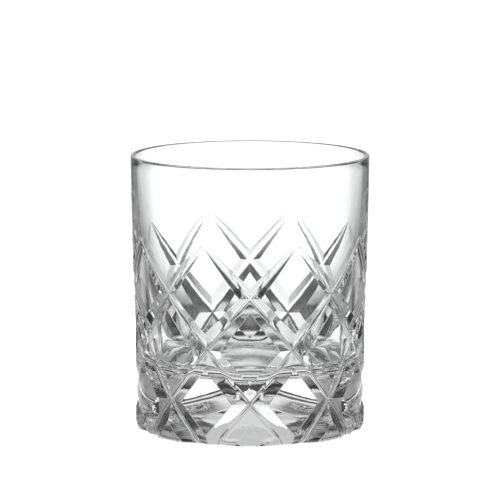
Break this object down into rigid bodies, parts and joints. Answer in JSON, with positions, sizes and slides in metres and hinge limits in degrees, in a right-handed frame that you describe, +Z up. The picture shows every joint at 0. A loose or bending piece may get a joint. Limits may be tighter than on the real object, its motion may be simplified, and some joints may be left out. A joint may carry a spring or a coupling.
{
  "type": "whiskey tumbler",
  "caption": "Straight-sided cut-crystal whiskey tumbler with a thick floor, a plain rounded lip, and crossing V grooves in a diamond lattice around its lower wall.",
  "frame": {"origin": "centre of the flat foot, on the surface that the glass stands on", "axes": "+Z up along the glass's axis towards the lip; -Y is the front, where two grooves cross on the centre line"},
  "size_m": [0.079, 0.079, 0.091],
  "materials": {
    "crystal": "clear polished crystal"
  },
  "bodies": {
    "root": {"tumbler_glass": "crystal"}
  },
  "joints": []
}
